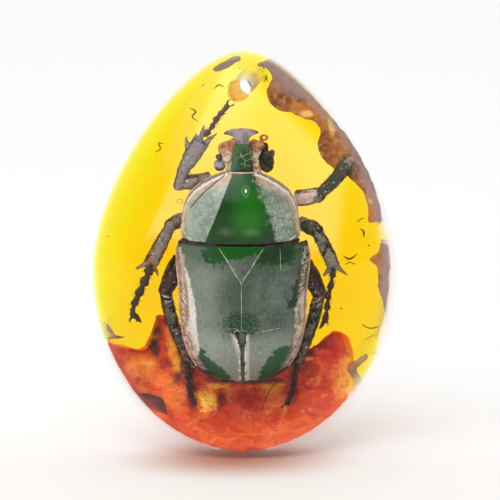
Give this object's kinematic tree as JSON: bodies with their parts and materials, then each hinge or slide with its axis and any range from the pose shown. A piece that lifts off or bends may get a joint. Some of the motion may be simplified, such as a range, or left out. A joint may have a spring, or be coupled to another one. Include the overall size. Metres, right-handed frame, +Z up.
{
  "type": "beetle in resin drop pendant",
  "caption": "Upright egg-shaped drop of clear and amber resin with a flower beetle sealed inside, a red cloud at its blunt end and a cord bore near its tip.",
  "frame": {"origin": "in the middle of the flat foot of the drop's blunt end", "axes": "+Z up from the blunt end to the tip; -Y is the front, towards which the beetle's back faces; +X to the right as seen from the front"},
  "size_m": [0.0494, 0.021, 0.065],
  "materials": {
    "resin_clear": "clear cast resin, polished",
    "resin_amber": "amber-yellow clear cast resin, polished",
    "beetle_green": "glossy green shell under a silvery air film",
    "beetle_silver": "grey-green shell under a silvery air film",
    "beetle_brown": "dry glossy brown underside",
    "beetle_leg": "dry brown-black legs, partly silvery",
    "cloud_red": "mottled translucent orange-red",
    "flake_brown": "thin translucent brown flakes"
  },
  "bodies": {
    "root": {"resin_front": "resin_clear", "resin_back": "resin_amber", "head": "beetle_green", "pronotum": "beetle_green", "scutellum": "beetle_silver", "elytron_left": "beetle_silver", "elytron_right": "beetle_silver", "body": "beetle_brown", "leg_front_left": "beetle_leg", "leg_front_right": "beetle_leg", "leg_middle_left": "beetle_leg", "leg_middle_right": "beetle_leg", "leg_hind_left": "beetle_leg", "leg_hind_right": "beetle_leg", "red_cloud": "cloud_red", "flake_upper_right": "flake_brown", "flake_right_edge": "flake_brown", "flake_left_edge": "flake_brown", "flake_lower_right": "flake_brown", "flake_lower_left": "flake_brown", "flake_top_left": "flake_brown"}
  },
  "joints": []
}
